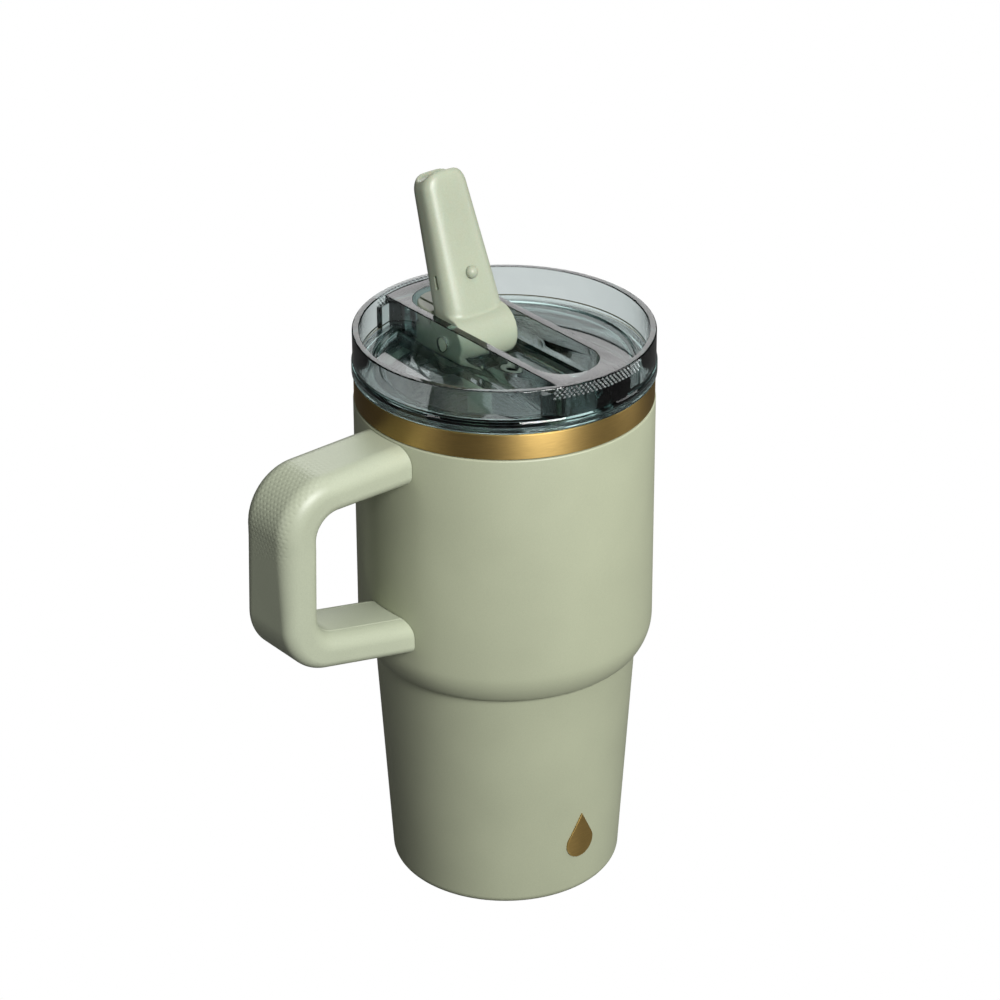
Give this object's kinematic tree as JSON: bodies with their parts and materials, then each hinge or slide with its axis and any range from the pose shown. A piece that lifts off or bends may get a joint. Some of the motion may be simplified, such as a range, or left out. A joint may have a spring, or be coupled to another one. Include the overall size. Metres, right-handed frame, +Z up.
{
  "type": "insulated tumbler",
  "caption": "Double-walled steel tumbler with a side handle, a brass rim band and a clear lid whose drinking spout flips up from a slot.",
  "frame": {"origin": "centre of the base, on the face it stands on", "axes": "+Z up through the lid; the handle points to -X; the lid's bridge runs along Y and the spout folds down towards -Y"},
  "size_m": [0.1324, 0.0896, 0.2187],
  "materials": {
    "body_coat": "fine-grained sage powder coat",
    "steel": "brushed stainless steel",
    "pad_rubber": "soft matte pad",
    "brass": "brushed, with the grain running round the cup",
    "handle_plastic": "satin sage plastic",
    "cover_plastic": "matte sage plastic",
    "clear_lid": "polished smoky clear plastic",
    "seal_rubber": "pale silicone",
    "spout_plastic": "satin pale sage plastic",
    "seat_plastic": "satin sage plastic",
    "straw_plastic": "smooth sage plastic"
  },
  "bodies": {
    "cup": {"outer_shell": "body_coat", "inner_liner": "steel", "base_plate": "steel", "vacuum_seal": "steel", "getter": "steel", "base_pad": "pad_rubber", "rim_band": "brass", "emblem": "brass", "handle_shell": "handle_plastic", "handle_cover": "cover_plastic", "upper_bracket": "steel", "lower_bracket": "steel", "upper_screw": "steel", "lower_screw": "steel"},
    "gasket": {"lid_gasket": "seal_rubber"},
    "lid": {"lid_body": "clear_lid", "spout_seat": "seat_plastic", "barrel_seal": "seal_rubber", "vent_seal": "seal_rubber", "straw": "straw_plastic"},
    "spout": {"spout": "spout_plastic"}
  },
  "joints": [
    {"name": "lid_lift", "type": "slide", "parent": "cup", "child": "gasket", "axis": [0, 0, 1], "range_m": [0, 0.17]},
    {"name": "lid_turn", "type": "hinge", "parent": "gasket", "child": "lid", "pos_m": [0, 0, 0.165], "axis": [0, 0, -1], "range_deg": [0, 50]},
    {"name": "straw_flip", "type": "hinge", "parent": "lid", "child": "spout", "pos_m": [0, 0.0138, 0.1713], "axis": [1, 0, 0], "range_deg": [0, 110]}
  ]
}
